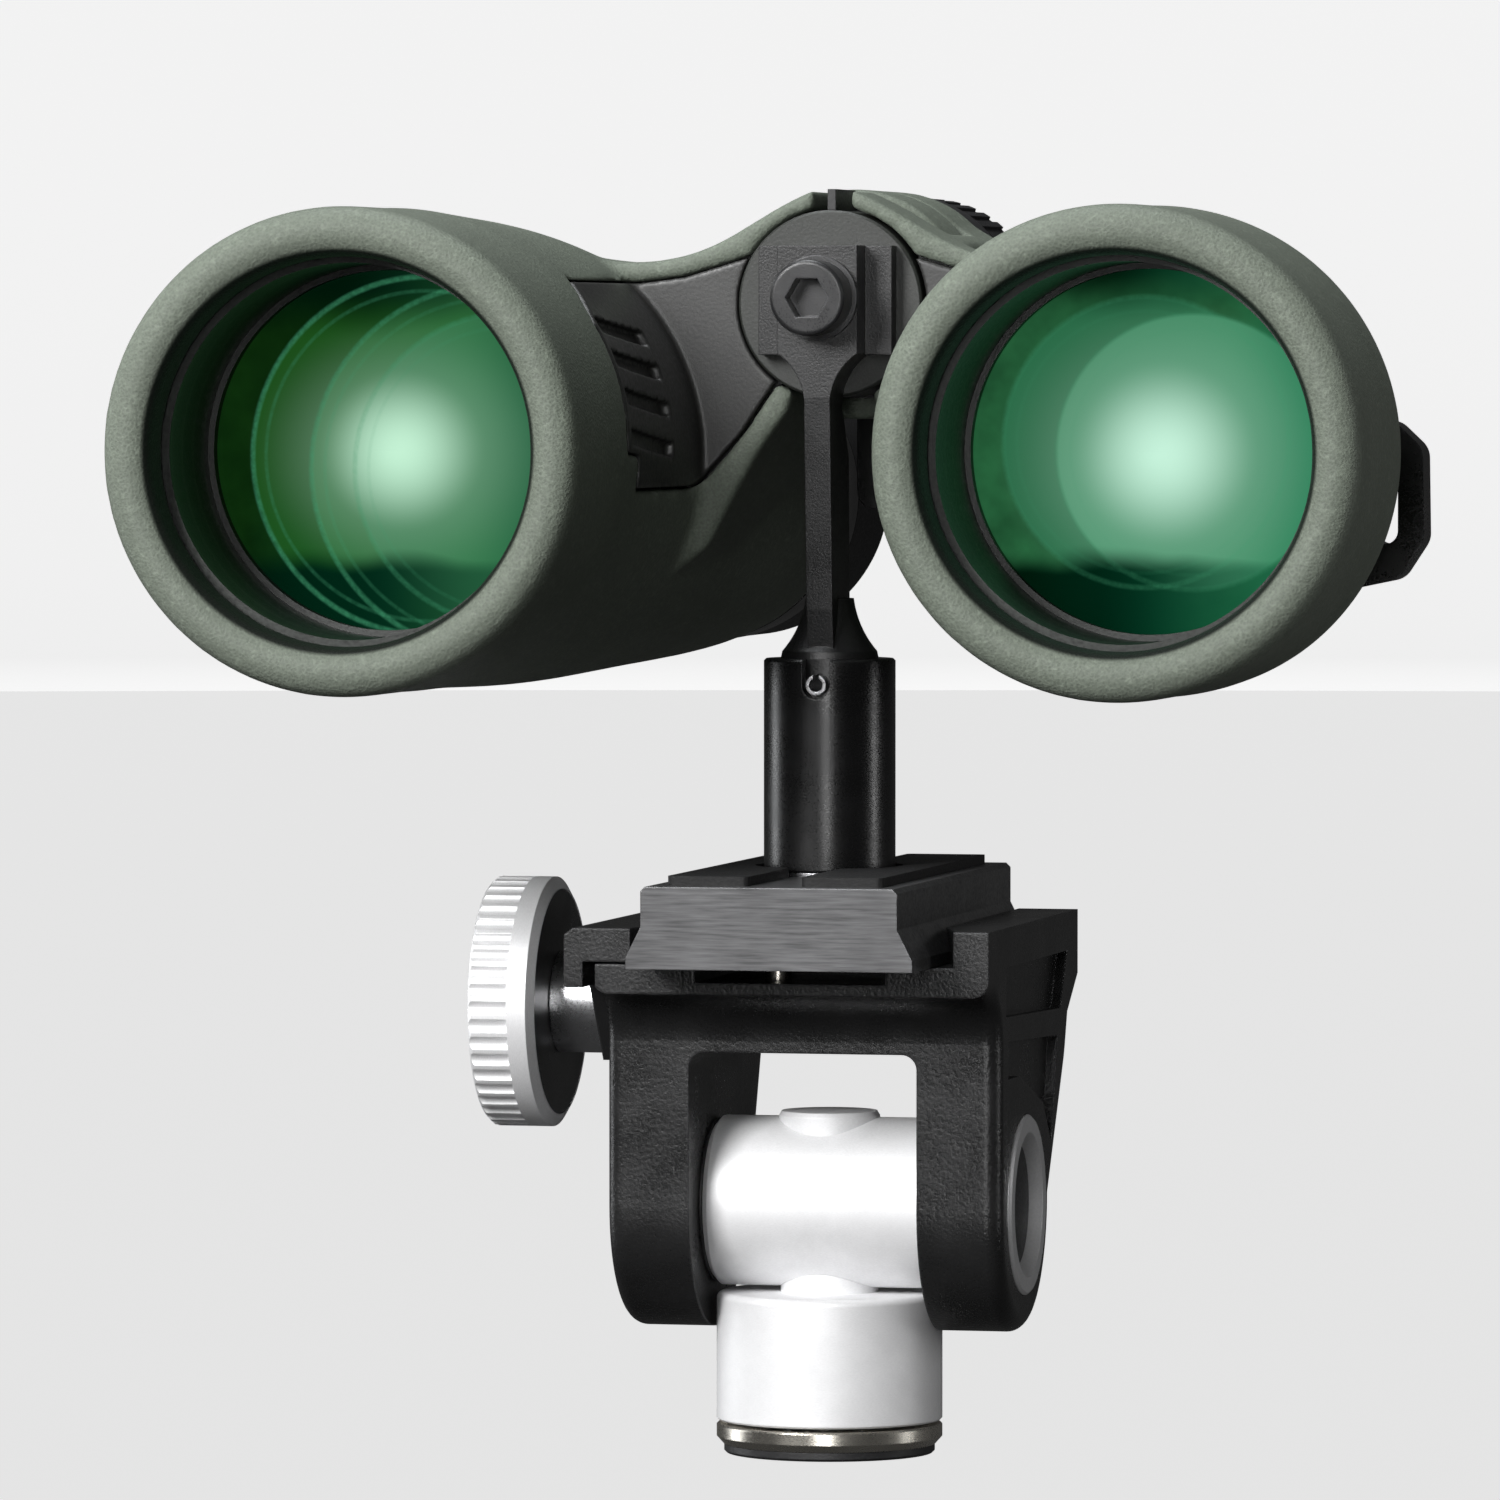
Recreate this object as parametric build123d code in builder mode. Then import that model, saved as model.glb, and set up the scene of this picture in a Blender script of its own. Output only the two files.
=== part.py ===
"""Tripod-mounted 50 mm binoculars on a stem adapter, dovetail plate and tilt head.

Frame: X to the right, +Y towards the eyepieces, +Z up, in millimetres.  The origin is the
mouth of the tripod thread, on the axis of the column and of the post.
"""
from build123d import *
import os

# ---- tilt head: base, column and barrel
BASE_R = 14.0
BASE_PAD_H = 1.2
COLUMN_R = 15.0
RING_TOP = 3.95
COLUMN_BOTTOM = 4.4
COLUMN_TOP = 21.4
TRIPOD_THREAD_R = 4.0
TRIPOD_THREAD_DEPTH = 9.0
INSERT_R = 6.5
INSERT_TOP = 10.0
SPINDLE_R = 4.0
TILT_Z = 33.3
BARREL_R = 11.3
BARREL_HALF = 14.9
STUB_R = 6.5
TIE_BOLT_R = 6.7
PIVOT_R = 5.0

# ---- yoke and clamp
LOBE_R = 16.8
ARM_IN = 15.3
ARM_OUT = 26.5
BRIDGE_BOTTOM = 54.0
FLANGE_BOTTOM = 62.0
FLOOR_Z = 65.9
FLANGE_LEFT = -26.1
CLAMP_FRONT = -24.5
CLAMP_BACK = 36.0
CLAMP_MID = 6.0
JAW_TOP = 70.6
JAW_OUTER = -30.3
JAW_LIP = 18.4
JAW_ROOT = 19.9
RECESS_HALF = 12.7
RECESS_Z = 63.6
CAP_R = 11.95
STOP_X, STOP_Y = -3.8, -14.0
STOP_R = 1.8
KNOB_R = 16.75
KNOB_IN = -38.1
KNOB_OUT = -47.0
KNOB_Z = 59.0
KNOB_FLUTES = 44
SCREW_R = 3.0

# ---- dovetail plate and post
PLATE_BOTTOM = 66.0
PLATE_TOP = 76.75
PLATE_HALF_Y = 37.1
PLATE_HALF_TOP = 17.0
PLATE_HALF_FOOT = 19.0
PAD_TOP = 78.0
POST_R = 8.73
POST_BOTTOM = 77.3
POST_TOP = 105.45
POST_BORE_R = 6.6
POST_FLOOR = 83.0
SLOT_W = 3.7
PIN_Z = 102.1
PIN_R = 1.35

# ---- stem adapter
SPIGOT_R = 6.5
HEAD_SCREW_Z = 153.1
HEAD_LOW, HEAD_HIGH = 145.6, 160.0
BLOCK_HALF = 5.4
SADDLE_HALF = 9.0
SADDLE_FRONT = -3.0
BLOCK_FRONT = -8.0
STEM_HALF = 1.75

# ---- binocular hinge
HINGE_Z = 152.35
HINGE_CAP_R = 12.4
KNUCKLE_R = 15.4
CORE_R = 12.8
SHAFT_R = 5.0
WEB_FRONT = 1.0
LEFT_KNUCKLE = (14.4, 28.4)
RIGHT_KNUCKLE = (28.8, 42.8)
WHEEL_R = 14.8
WHEEL_FRONT, WHEEL_BACK = 50.4, 68.0
KEEL_HALF = 5.8
KEEL_BOTTOM = 124.6

# ---- barrels
OBJECTIVE_X, OBJECTIVE_Z = 50.35, 133.2
LIP_R = 31.4
MOUTH_R = 25.0
LIP_FRONT = -65.2
LIP_ROUND = (LIP_R - MOUTH_R) / 2
BODY_FRONT = -57.0
LENS_R = 24.8
LENS_FRONT = -36.4
CELL_R = 25.5
CELL_MOUTH_R = 24.2
LENS_SEAT = -38.6
CELL_FRONT, CELL_BACK = -56.9, -28.0
EYE_X, EYE_Z = 34.2, 126.1
ARMOUR_T = 2.6
HOUSING_T = 1.7
SKIN_GAP = 0.1
SLOT_HEIGHTS = (148.6, 144.2, 139.3, 134.1)
SLOT_Y = -21.0
SLOT_LENGTH = 21.0
SLOT_HEIGHT = 2.0
SLOT_DEPTH = 1.2
BODY_BACK = 72.0
TUBE_R = 17.0
TUBE_BACK = 100.0
SLIDER_R = 18.3
DIOPTER_FRONT = 76.2
COLLAR_BACK = 81.2
EYECUP_R = 20.4
EYECUP_BACK = 104.0

FRONT_TUBE_BACK = -40.0
# Sections behind the round front tube: place along Y, centre x and z, half width and half height.
SECTIONS = [
    (FRONT_TUBE_BACK, OBJECTIVE_X, OBJECTIVE_Z, LIP_R, LIP_R),
    (-24.0, 49.9, 133.0, 30.5, 31.3),
    (-8.0, 48.1, 132.5, 29.6, 31.0),
    (12.0, 45.2, 131.3, 28.9, 29.6),
    (34.0, 41.4, 129.2, 27.8, 26.4),
    (52.0, 37.6, 127.4, 25.4, 23.6),
    (65.0, 35.0, 126.4, 22.2, 21.4),
    (BODY_BACK, EYE_X, EYE_Z, 20.6, 20.4),
]

os.makedirs("parts", exist_ok=True)


def across(y):
    """Plane normal to Y at the given y, with local axes X and Z."""
    return Plane.XZ.offset(-y)


def save(builder, name):
    """Label a finished piece and write its STEP file."""
    builder.part.label = name
    export_step(builder.part, f"parts/{name}.step")


# =====================================================================  tilt head
with BuildPart() as base_disc:
    with BuildSketch(Plane.XY):
        Circle(BASE_R)
        Circle(INSERT_R, mode=Mode.SUBTRACT)
    extrude(amount=BASE_PAD_H)
    with BuildSketch(Plane.XY.offset(BASE_PAD_H)):
        Circle(9.8)
        Circle(INSERT_R, mode=Mode.SUBTRACT)
    extrude(amount=2.4)
    chamfer(base_disc.faces().sort_by(Axis.Z)[0].edges().sort_by(SortBy.RADIUS)[-1], length=0.3)
save(base_disc, "base_disc")

with BuildPart() as thread_insert:
    with BuildSketch(Plane.XY):
        Circle(INSERT_R)
    extrude(amount=INSERT_TOP)
    with BuildSketch(Plane.XY):
        Circle(TRIPOD_THREAD_R)
    extrude(amount=TRIPOD_THREAD_DEPTH, mode=Mode.SUBTRACT)
save(thread_insert, "thread_insert")

with BuildPart() as base_ring:
    with BuildSketch(Plane.XY.offset(BASE_PAD_H)):
        Circle(COLUMN_R)
        Circle(9.85, mode=Mode.SUBTRACT)
    extrude(amount=RING_TOP - BASE_PAD_H)
    rims = base_ring.edges().filter_by(GeomType.CIRCLE).group_by(SortBy.RADIUS)[-1]
    chamfer(rims.sort_by(Axis.Z)[0], length=1.0, length2=0.9)
    chamfer(base_ring.edges().filter_by(GeomType.CIRCLE).group_by(SortBy.RADIUS)[-1].sort_by(Axis.Z)[-1],
            length=0.25)
save(base_ring, "base_ring")

with BuildPart() as pan_spindle:
    with BuildSketch(Plane.XY.offset(INSERT_TOP)):
        Circle(SPINDLE_R)
    extrude(amount=3.6)
    with BuildSketch(Plane.XY.offset(INSERT_TOP + 3.6)):
        Circle(7.5)
    extrude(amount=3.0)
    with BuildSketch(Plane.XY.offset(INSERT_TOP + 6.6)):
        RegularPolygon(3.0, 6)
    extrude(amount=-2.0, mode=Mode.SUBTRACT)
save(pan_spindle, "pan_spindle")

with BuildPart() as column:
    with BuildSketch(Plane.XY.offset(COLUMN_BOTTOM)):
        Circle(COLUMN_R)
    extrude(amount=COLUMN_TOP - COLUMN_BOTTOM)
    fillet(column.edges().filter_by(GeomType.CIRCLE).sort_by(Axis.Z)[-1], radius=0.9)
    chamfer(column.edges().filter_by(GeomType.CIRCLE).sort_by(Axis.Z)[0], length=0.25)
    with BuildSketch(Plane.XY.offset(COLUMN_BOTTOM)):
        Circle(9.0)
    extrude(amount=6.1, mode=Mode.SUBTRACT)
    with BuildSketch(Plane.XY.offset(10.5)):
        Circle(5.52)
    extrude(amount=3.0, mode=Mode.SUBTRACT)
    with BuildSketch(Plane.XY.offset(13.5)):
        Circle(9.0)
    extrude(amount=4.0, mode=Mode.SUBTRACT)
    with BuildSketch(Plane.XY.offset(COLUMN_TOP)):
        Circle(STUB_R)
    extrude(amount=4.1)
    with BuildSketch(Plane.XY.offset(COLUMN_TOP + 4.1)):
        Circle(3.5)
    extrude(amount=-6.5, mode=Mode.SUBTRACT)
save(column, "column")

with BuildPart() as pan_bush:
    with BuildSketch(Plane.XY.offset(10.5)):
        Circle(5.5)
        Circle(SPINDLE_R + 0.05, mode=Mode.SUBTRACT)
    extrude(amount=3.0)
save(pan_bush, "pan_bush")

tilt_plane = Plane.YZ.offset(-BARREL_HALF)
with BuildPart() as tilt_barrel:
    with BuildSketch(tilt_plane):
        with Locations((0, TILT_Z)):
            Circle(BARREL_R)
    extrude(amount=2 * BARREL_HALF)
    chamfer(tilt_barrel.edges().filter_by(GeomType.CIRCLE), length=0.7)
    for side in (-1, 1):
        with BuildSketch(Plane.YZ.offset(side * BARREL_HALF)):
            with Locations((0, TILT_Z)):
                Circle(6.02)
        extrude(amount=-side * 7.0, mode=Mode.SUBTRACT)
    with BuildSketch(Plane.XY.offset(COLUMN_TOP)):
        Circle(STUB_R + 0.02)
    extrude(amount=4.12, mode=Mode.SUBTRACT)
    with BuildSketch(Plane.XY.offset(39.0)):
        Circle(TIE_BOLT_R + 0.02)
    extrude(amount=8.0, mode=Mode.SUBTRACT)
    with BuildSketch(Plane.XY.offset(COLUMN_TOP)):
        Circle(3.6)
    extrude(amount=20.0, mode=Mode.SUBTRACT)
save(tilt_barrel, "tilt_barrel")

with BuildPart() as tie_bolt:
    with BuildSketch(Plane.XY.offset(19.5)):
        Circle(3.45)
    extrude(amount=20.5)
    with BuildSketch(Plane.XY.offset(39.05)):
        Circle(TIE_BOLT_R)
    extrude(amount=6.35)
    chamfer(tie_bolt.edges().filter_by(GeomType.CIRCLE).sort_by(Axis.Z)[-1], length=0.6, length2=0.35)
save(tie_bolt, "tie_bolt")

with BuildPart() as axle_bushes:
    for side in (-1, 1):
        with BuildSketch(Plane.YZ.offset(side * BARREL_HALF)):
            with Locations((0, TILT_Z)):
                Circle(6.0)
                Circle(PIVOT_R + 0.05, mode=Mode.SUBTRACT)
        extrude(amount=-side * 6.9)
save(axle_bushes, "axle_bushes")

# =====================================================================  yoke

def yoke_outline():
    """Side outline of the yoke: a hook of straight flanks closed by the round lobe."""
    with BuildLine() as outline:
        Line((-LOBE_R, TILT_Z), (-LOBE_R, 55.5))
        ThreePointArc((-LOBE_R, 55.5), (-18.9, 60.1), (CLAMP_FRONT, FLANGE_BOTTOM))
        Polyline((CLAMP_FRONT, FLANGE_BOTTOM), (CLAMP_FRONT, FLOOR_Z), (CLAMP_BACK, FLOOR_Z),
                 (CLAMP_BACK, FLANGE_BOTTOM), (28.7, 57.2), (23.2, 43.0), (LOBE_R, TILT_Z))
        ThreePointArc((LOBE_R, TILT_Z), (0, TILT_Z - LOBE_R), (-LOBE_R, TILT_Z))
    return outline.line


def side_pockets(side):
    """Two shallow pockets in an arm's outer face, divided by a rib and clear of the lobe."""
    with BuildPart(mode=Mode.PRIVATE) as pockets:
        with BuildSketch(Plane.YZ.offset(side * ARM_OUT)):
            with BuildLine():
                Polyline((-13.0, 58.9), (23.8, 57.9), (28.6, 65.4), (-13.0, 65.4), close=True)
            make_face()
            with BuildLine():
                Polyline((-11.5, 55.6), (22.0, 54.4), (19.6, 46.5), (17.4, 40.5), (12.0, 46.0),
                         (-4.0, 50.6), (-11.5, 50.6), close=True)
            make_face()
        extrude(amount=-side * 1.4)
    return pockets.part


with BuildPart() as yoke:
    for side in (-1, 1):
        with BuildSketch(Plane.YZ.offset(side * ARM_IN)):
            add(yoke_outline())
            make_face()
        extrude(amount=side * (ARM_OUT - ARM_IN))
    lobe_edges = yoke.edges().filter_by(lambda e: abs(abs(e.center().X) - ARM_OUT) < 0.01
                                        and e.center().Z < 42)
    fillet(lobe_edges, radius=2.2)
    # bridge, cored out above the opening between the arms
    with BuildSketch(Plane.YZ.offset(-ARM_IN)):
        with BuildLine():
            Line((-LOBE_R, BRIDGE_BOTTOM), (-LOBE_R, 55.5))
            ThreePointArc((-LOBE_R, 55.5), (-18.9, 60.1), (CLAMP_FRONT, FLANGE_BOTTOM))
            Polyline((CLAMP_FRONT, FLANGE_BOTTOM), (CLAMP_FRONT, FLOOR_Z), (CLAMP_BACK, FLOOR_Z),
                     (CLAMP_BACK, FLANGE_BOTTOM), (28.7, 57.2), (27.4, BRIDGE_BOTTOM),
                     (-LOBE_R, BRIDGE_BOTTOM))
        make_face()
    extrude(amount=2 * ARM_IN)
    corners = yoke.edges().filter_by(Axis.Y).filter_by(
        lambda e: abs(abs(e.center().X) - ARM_IN) < 0.01 and abs(e.center().Z - BRIDGE_BOTTOM) < 0.01)
    fillet(corners, radius=2.0)
    # fixed jaw on the right, with an undercut lip and a lead-in at the front
    with BuildSketch(across(CLAMP_FRONT)):
        with BuildLine():
            Polyline((JAW_ROOT, FLOOR_Z), (ARM_OUT, FLOOR_Z), (ARM_OUT, JAW_TOP), (JAW_LIP, JAW_TOP),
                     (JAW_ROOT, 67.4), close=True)
        make_face()
    extrude(amount=CLAMP_FRONT - CLAMP_BACK)
    with BuildSketch(Plane.XY.offset(FLOOR_Z)):
        with BuildLine():
            Polyline((17.0, CLAMP_FRONT - 0.5), (21.8, CLAMP_FRONT - 0.5), (21.8, CLAMP_FRONT + 2.0),
                     (JAW_LIP - 0.2, -12.0), (17.0, -12.0), close=True)
        make_face()
    extrude(amount=6.0, mode=Mode.SUBTRACT)
    # recess along the channel floor
    with BuildSketch(across(CLAMP_FRONT - 1)):
        with Locations((0, (RECESS_Z + FLOOR_Z + 1) / 2)):
            Rectangle(2 * RECESS_HALF, FLOOR_Z + 1 - RECESS_Z)
    extrude(amount=CLAMP_FRONT - CLAMP_BACK - 2, mode=Mode.SUBTRACT)
    # shorter flange on the movable jaw's side, where the jaw's leg hangs outside it
    with BuildSketch(Plane.XY.offset(FLANGE_BOTTOM)):
        with Locations((FLANGE_LEFT - 1.0, CLAMP_MID)):
            Rectangle(2.0, 80.0)
    extrude(amount=6.0, mode=Mode.SUBTRACT)
    # pivot bores, with seats for the caps
    for side in (-1, 1):
        with BuildSketch(Plane.YZ.offset(side * ARM_OUT)):
            with Locations((0, TILT_Z)):
                Circle(CAP_R + 0.05)
        extrude(amount=-side * 2.6, mode=Mode.SUBTRACT)
        with BuildSketch(Plane.YZ.offset(side * ARM_OUT)):
            with Locations((0, TILT_Z)):
                Circle(9.02)
        extrude(amount=-side * 12.0, mode=Mode.SUBTRACT)
        add(side_pockets(side), mode=Mode.SUBTRACT)
    # clamp screw, guide pin and stop pin holes
    with BuildSketch(Plane.YZ.offset(-ARM_OUT - 1)):
        with Locations((CLAMP_MID, KNOB_Z)):
            Circle(SCREW_R + 0.06)
    extrude(amount=13.0, mode=Mode.SUBTRACT)
    with BuildSketch(Plane.YZ.offset(-ARM_OUT - 1)):
        with Locations((CLAMP_MID - 16, 64.2), (CLAMP_MID + 16, 64.2)):
            Circle(1.26)
    extrude(amount=12.5, mode=Mode.SUBTRACT)
    with BuildSketch(Plane.XY.offset(56.3)):
        with Locations((STOP_X, STOP_Y)):
            Circle(STOP_R + 0.06)
    extrude(amount=9.0, mode=Mode.SUBTRACT)
save(yoke, "yoke")

with BuildPart() as tilt_pivots:
    for side in (-1, 1):
        with BuildSketch(Plane.YZ.offset(side * 8.3)):
            with Locations((0, TILT_Z)):
                Circle(PIVOT_R)
        extrude(amount=side * 7.3)
        with BuildSketch(Plane.YZ.offset(side * 15.5)):
            with Locations((0, TILT_Z)):
                Circle(9.0)
        extrude(amount=side * 8.3)
save(tilt_pivots, "tilt_pivots")

with BuildPart() as axle_caps:
    for side in (-1, 1):
        with BuildSketch(Plane.YZ.offset(side * 23.95)):
            with Locations((0, TILT_Z)):
                Circle(CAP_R)
        extrude(amount=side * 3.05)
    chamfer(axle_caps.edges().filter_by(GeomType.CIRCLE).filter_by(
        lambda e: abs(e.center().X) > 26), length=0.35)
    for side in (-1, 1):
        with BuildSketch(Plane.YZ.offset(side * 24.8)):
            with Locations((0, TILT_Z)):
                Circle(8.4)
        extrude(amount=side * 2.2, taper=-28, mode=Mode.SUBTRACT)
save(axle_caps, "axle_caps")

with BuildPart() as cap_discs:
    for side in (-1, 1):
        with BuildSketch(Plane.YZ.offset(side * 24.8)):
            with Locations((0, TILT_Z)):
                Circle(8.3)
        extrude(amount=side * 0.5)
save(cap_discs, "cap_discs")

with BuildPart() as friction_washers:
    for side in (-1, 1):
        with BuildSketch(Plane.YZ.offset(side * (BARREL_HALF + 0.05))):
            with Locations((0, TILT_Z)):
                Circle(10.9)
                Circle(PIVOT_R + 0.2, mode=Mode.SUBTRACT)
        extrude(amount=side * 0.3)
save(friction_washers, "friction_washers")

with BuildPart() as stop_pin:
    with BuildSketch(Plane.XY.offset(61.0)):
        with Locations((STOP_X, STOP_Y)):
            Circle(STOP_R)
    extrude(amount=5.5)
    chamfer(stop_pin.edges().filter_by(GeomType.CIRCLE).sort_by(Axis.Z)[-1], length=0.5)
save(stop_pin, "stop_pin")

with BuildPart() as stop_spring:
    with BuildLine(Plane.XY.offset(56.7)):
        coil = Helix(pitch=0.8, height=4.0, radius=1.3, center=(STOP_X, STOP_Y, 0))
    with BuildSketch(Plane(origin=coil @ 0, z_dir=coil % 0)):
        Circle(0.22)
    sweep(path=coil)
save(stop_spring, "stop_spring")

# =====================================================================  movable jaw and knob
with BuildPart() as clamp_jaw:
    with BuildSketch(across(CLAMP_FRONT)):
        with BuildLine():
            Polyline((JAW_OUTER, 62.8), (-27.8, 62.8), (-27.8, 66.2), (-JAW_ROOT, 66.2),
                     (-JAW_ROOT, 67.4), (-JAW_LIP, JAW_TOP), (JAW_OUTER + 1.2, JAW_TOP),
                     (JAW_OUTER, JAW_TOP - 0.9), close=True)
        make_face()
    extrude(amount=CLAMP_FRONT - CLAMP_BACK)
    with BuildSketch(Plane.XY.offset(62.0)):
        with BuildLine():
            Polyline((-17.0, CLAMP_FRONT - 0.5), (-21.4, CLAMP_FRONT - 0.5), (-21.4, CLAMP_FRONT + 2.0),
                     (-JAW_LIP + 0.2, -12.0), (-17.0, -12.0), close=True)
        make_face()
    extrude(amount=10.0, mode=Mode.SUBTRACT)
    with BuildSketch(Plane.YZ.offset(JAW_OUTER)):
        with BuildLine():
            Polyline((CLAMP_MID - 17, 63.2), (CLAMP_MID + 17, 63.2), (CLAMP_MID + 8.5, 51.8),
                     (CLAMP_MID - 8.5, 51.8), close=True)
        make_face()
    extrude(amount=2.8)
    with BuildSketch(Plane.YZ.offset(JAW_OUTER - 1)):
        with Locations((CLAMP_MID, KNOB_Z)):
            Circle(SCREW_R + 0.1)
    extrude(amount=6.0, mode=Mode.SUBTRACT)
    with BuildSketch(Plane.YZ.offset(JAW_OUTER + 0.8)):
        with Locations((CLAMP_MID - 16, 64.2), (CLAMP_MID + 16, 64.2)):
            Circle(1.22)
    extrude(amount=3.0, mode=Mode.SUBTRACT)
save(clamp_jaw, "clamp_jaw")

with BuildPart() as jaw_guide_pins:
    with BuildSketch(Plane.YZ.offset(JAW_OUTER + 0.9)):
        with Locations((CLAMP_MID - 16, 64.2), (CLAMP_MID + 16, 64.2)):
            Circle(1.2)
    extrude(amount=12.0)
save(jaw_guide_pins, "jaw_guide_pins")

with BuildPart() as knob_rim:
    with BuildSketch(Plane.YZ.offset(KNOB_OUT)):
        with Locations((CLAMP_MID, KNOB_Z)):
            Circle(KNOB_R)
    extrude(amount=KNOB_IN - KNOB_OUT)
    outer_edge = knob_rim.edges().filter_by(GeomType.CIRCLE).sort_by(Axis.X)
    chamfer(outer_edge[-1], length=0.9, length2=1.5)
    chamfer(outer_edge[0], length=0.6)
    with BuildSketch(Plane.YZ.offset(KNOB_IN)):
        with Locations((CLAMP_MID, KNOB_Z)):
            Circle(15.1)
    extrude(amount=-0.8, mode=Mode.SUBTRACT)
    with BuildSketch(Plane.YZ.offset(KNOB_OUT)):
        with Locations((CLAMP_MID, KNOB_Z)):
            Circle(12.4)
            Circle(6.2, mode=Mode.SUBTRACT)
    extrude(amount=1.2, mode=Mode.SUBTRACT)
    with BuildSketch(Plane.YZ.offset(KNOB_OUT - 0.5)):
        with Locations((CLAMP_MID, KNOB_Z)):
            with PolarLocations(KNOB_R + 0.55, KNOB_FLUTES):
                Circle(1.05)
    extrude(amount=5.9, mode=Mode.SUBTRACT)
    with BuildSketch(Plane.YZ.offset(KNOB_IN)):
        with Locations((CLAMP_MID, KNOB_Z)):
            Circle(4.02)
    extrude(amount=-6.0, mode=Mode.SUBTRACT)
save(knob_rim, "knob_rim")

with BuildPart() as knob_disc:
    with BuildSketch(Plane.YZ.offset(KNOB_IN - 0.8)):
        with Locations((CLAMP_MID, KNOB_Z)):
            Circle(15.05)
            Circle(4.05, mode=Mode.SUBTRACT)
    extrude(amount=0.7)
save(knob_disc, "knob_disc")

with BuildPart() as knob_screw:
    with BuildSketch(Plane.YZ.offset(KNOB_IN)):
        with Locations((CLAMP_MID, KNOB_Z)):
            Circle(6.8)
    extrude(amount=JAW_OUTER - KNOB_IN - 0.1)
    chamfer(knob_screw.edges().filter_by(GeomType.CIRCLE).sort_by(Axis.X)[-1], length=0.6)
    with BuildSketch(Plane.YZ.offset(KNOB_IN - 5.9)):
        with Locations((CLAMP_MID, KNOB_Z)):
            Circle(4.0)
    extrude(amount=6.0)
    with BuildSketch(Plane.YZ.offset(JAW_OUTER - 0.5)):
        with Locations((CLAMP_MID, KNOB_Z)):
            Circle(SCREW_R)
    extrude(amount=14.5)
save(knob_screw, "knob_screw")

# =====================================================================  dovetail plate and post
with BuildPart() as dovetail_plate:
    with BuildSketch(across(-PLATE_HALF_Y)):
        with BuildLine():
            Polyline((PLATE_HALF_FOOT, PLATE_BOTTOM), (PLATE_HALF_FOOT, 67.5), (PLATE_HALF_TOP, 71.5),
                     (PLATE_HALF_TOP, PLATE_TOP - 0.6), (PLATE_HALF_TOP - 0.6, PLATE_TOP),
                     (0.6 - PLATE_HALF_TOP, PLATE_TOP), (-PLATE_HALF_TOP, PLATE_TOP - 0.6),
                     (-PLATE_HALF_TOP, 71.5), (-PLATE_HALF_FOOT, 67.5), (-PLATE_HALF_FOOT, PLATE_BOTTOM),
                     close=True)
        make_face()
    extrude(amount=-2 * PLATE_HALF_Y)
    with BuildSketch(Plane.XY.offset(PLATE_BOTTOM)):
        Circle(3.3)
    extrude(amount=12.0, mode=Mode.SUBTRACT)
    with BuildSketch(Plane.XY.offset(PLATE_BOTTOM)):
        Circle(6.4)
    extrude(amount=5.0, mode=Mode.SUBTRACT)
    # groove for the stop pin
    with BuildSketch(Plane.XY.offset(PLATE_BOTTOM)):
        with Locations((STOP_X, -8.0)):
            SlotOverall(44.0, 2 * (STOP_R + 0.6), rotation=90)
    extrude(amount=1.4, mode=Mode.SUBTRACT)
save(dovetail_plate, "dovetail_plate")

with BuildPart() as plate_pads:
    with BuildSketch(Plane.XY.offset(PLATE_TOP)):
        with Locations((-8.9, 0), (8.9, 0)):
            RectangleRounded(10.8, 67.0, 0.8)
        Circle(9.8, mode=Mode.SUBTRACT)
    extrude(amount=PAD_TOP - PLATE_TOP)
save(plate_pads, "plate_pads")

with BuildPart() as post_washer:
    with BuildSketch(Plane.XY.offset(PLATE_TOP)):
        Circle(8.3)
        Circle(3.3, mode=Mode.SUBTRACT)
    extrude(amount=POST_BOTTOM - PLATE_TOP)
save(post_washer, "post_washer")

with BuildPart() as post_sleeve:
    with BuildSketch(Plane.XY.offset(POST_BOTTOM)):
        Circle(POST_R)
    extrude(amount=POST_TOP - POST_BOTTOM)
    chamfer(post_sleeve.edges().filter_by(GeomType.CIRCLE), length=0.3)
    with BuildSketch(Plane.XY.offset(POST_TOP)):
        Circle(POST_BORE_R)
    extrude(amount=POST_FLOOR - POST_TOP, mode=Mode.SUBTRACT)
    with BuildSketch(Plane.XY.offset(POST_BOTTOM)):
        Circle(3.02)
    extrude(amount=4.5, mode=Mode.SUBTRACT)
    with BuildSketch(across(-12.0)):
        with Locations((0, PIN_Z)):
            Circle(SLOT_W / 2)
        with Locations((0, PIN_Z + 3)):
            Rectangle(SLOT_W, 6.0)
    extrude(amount=-24.0, mode=Mode.SUBTRACT)
save(post_sleeve, "post_sleeve")

with BuildPart() as post_screw:
    with BuildSketch(Plane.XY.offset(66.6)):
        Circle(6.2)
    extrude(amount=4.3)
    with BuildSketch(Plane.XY.offset(70.8)):
        Circle(3.0)
    extrude(amount=10.6)
    with BuildSketch(Plane.XY.offset(66.6)):
        RegularPolygon(2.6, 6)
    extrude(amount=2.4, mode=Mode.SUBTRACT)
save(post_screw, "post_screw")

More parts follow.
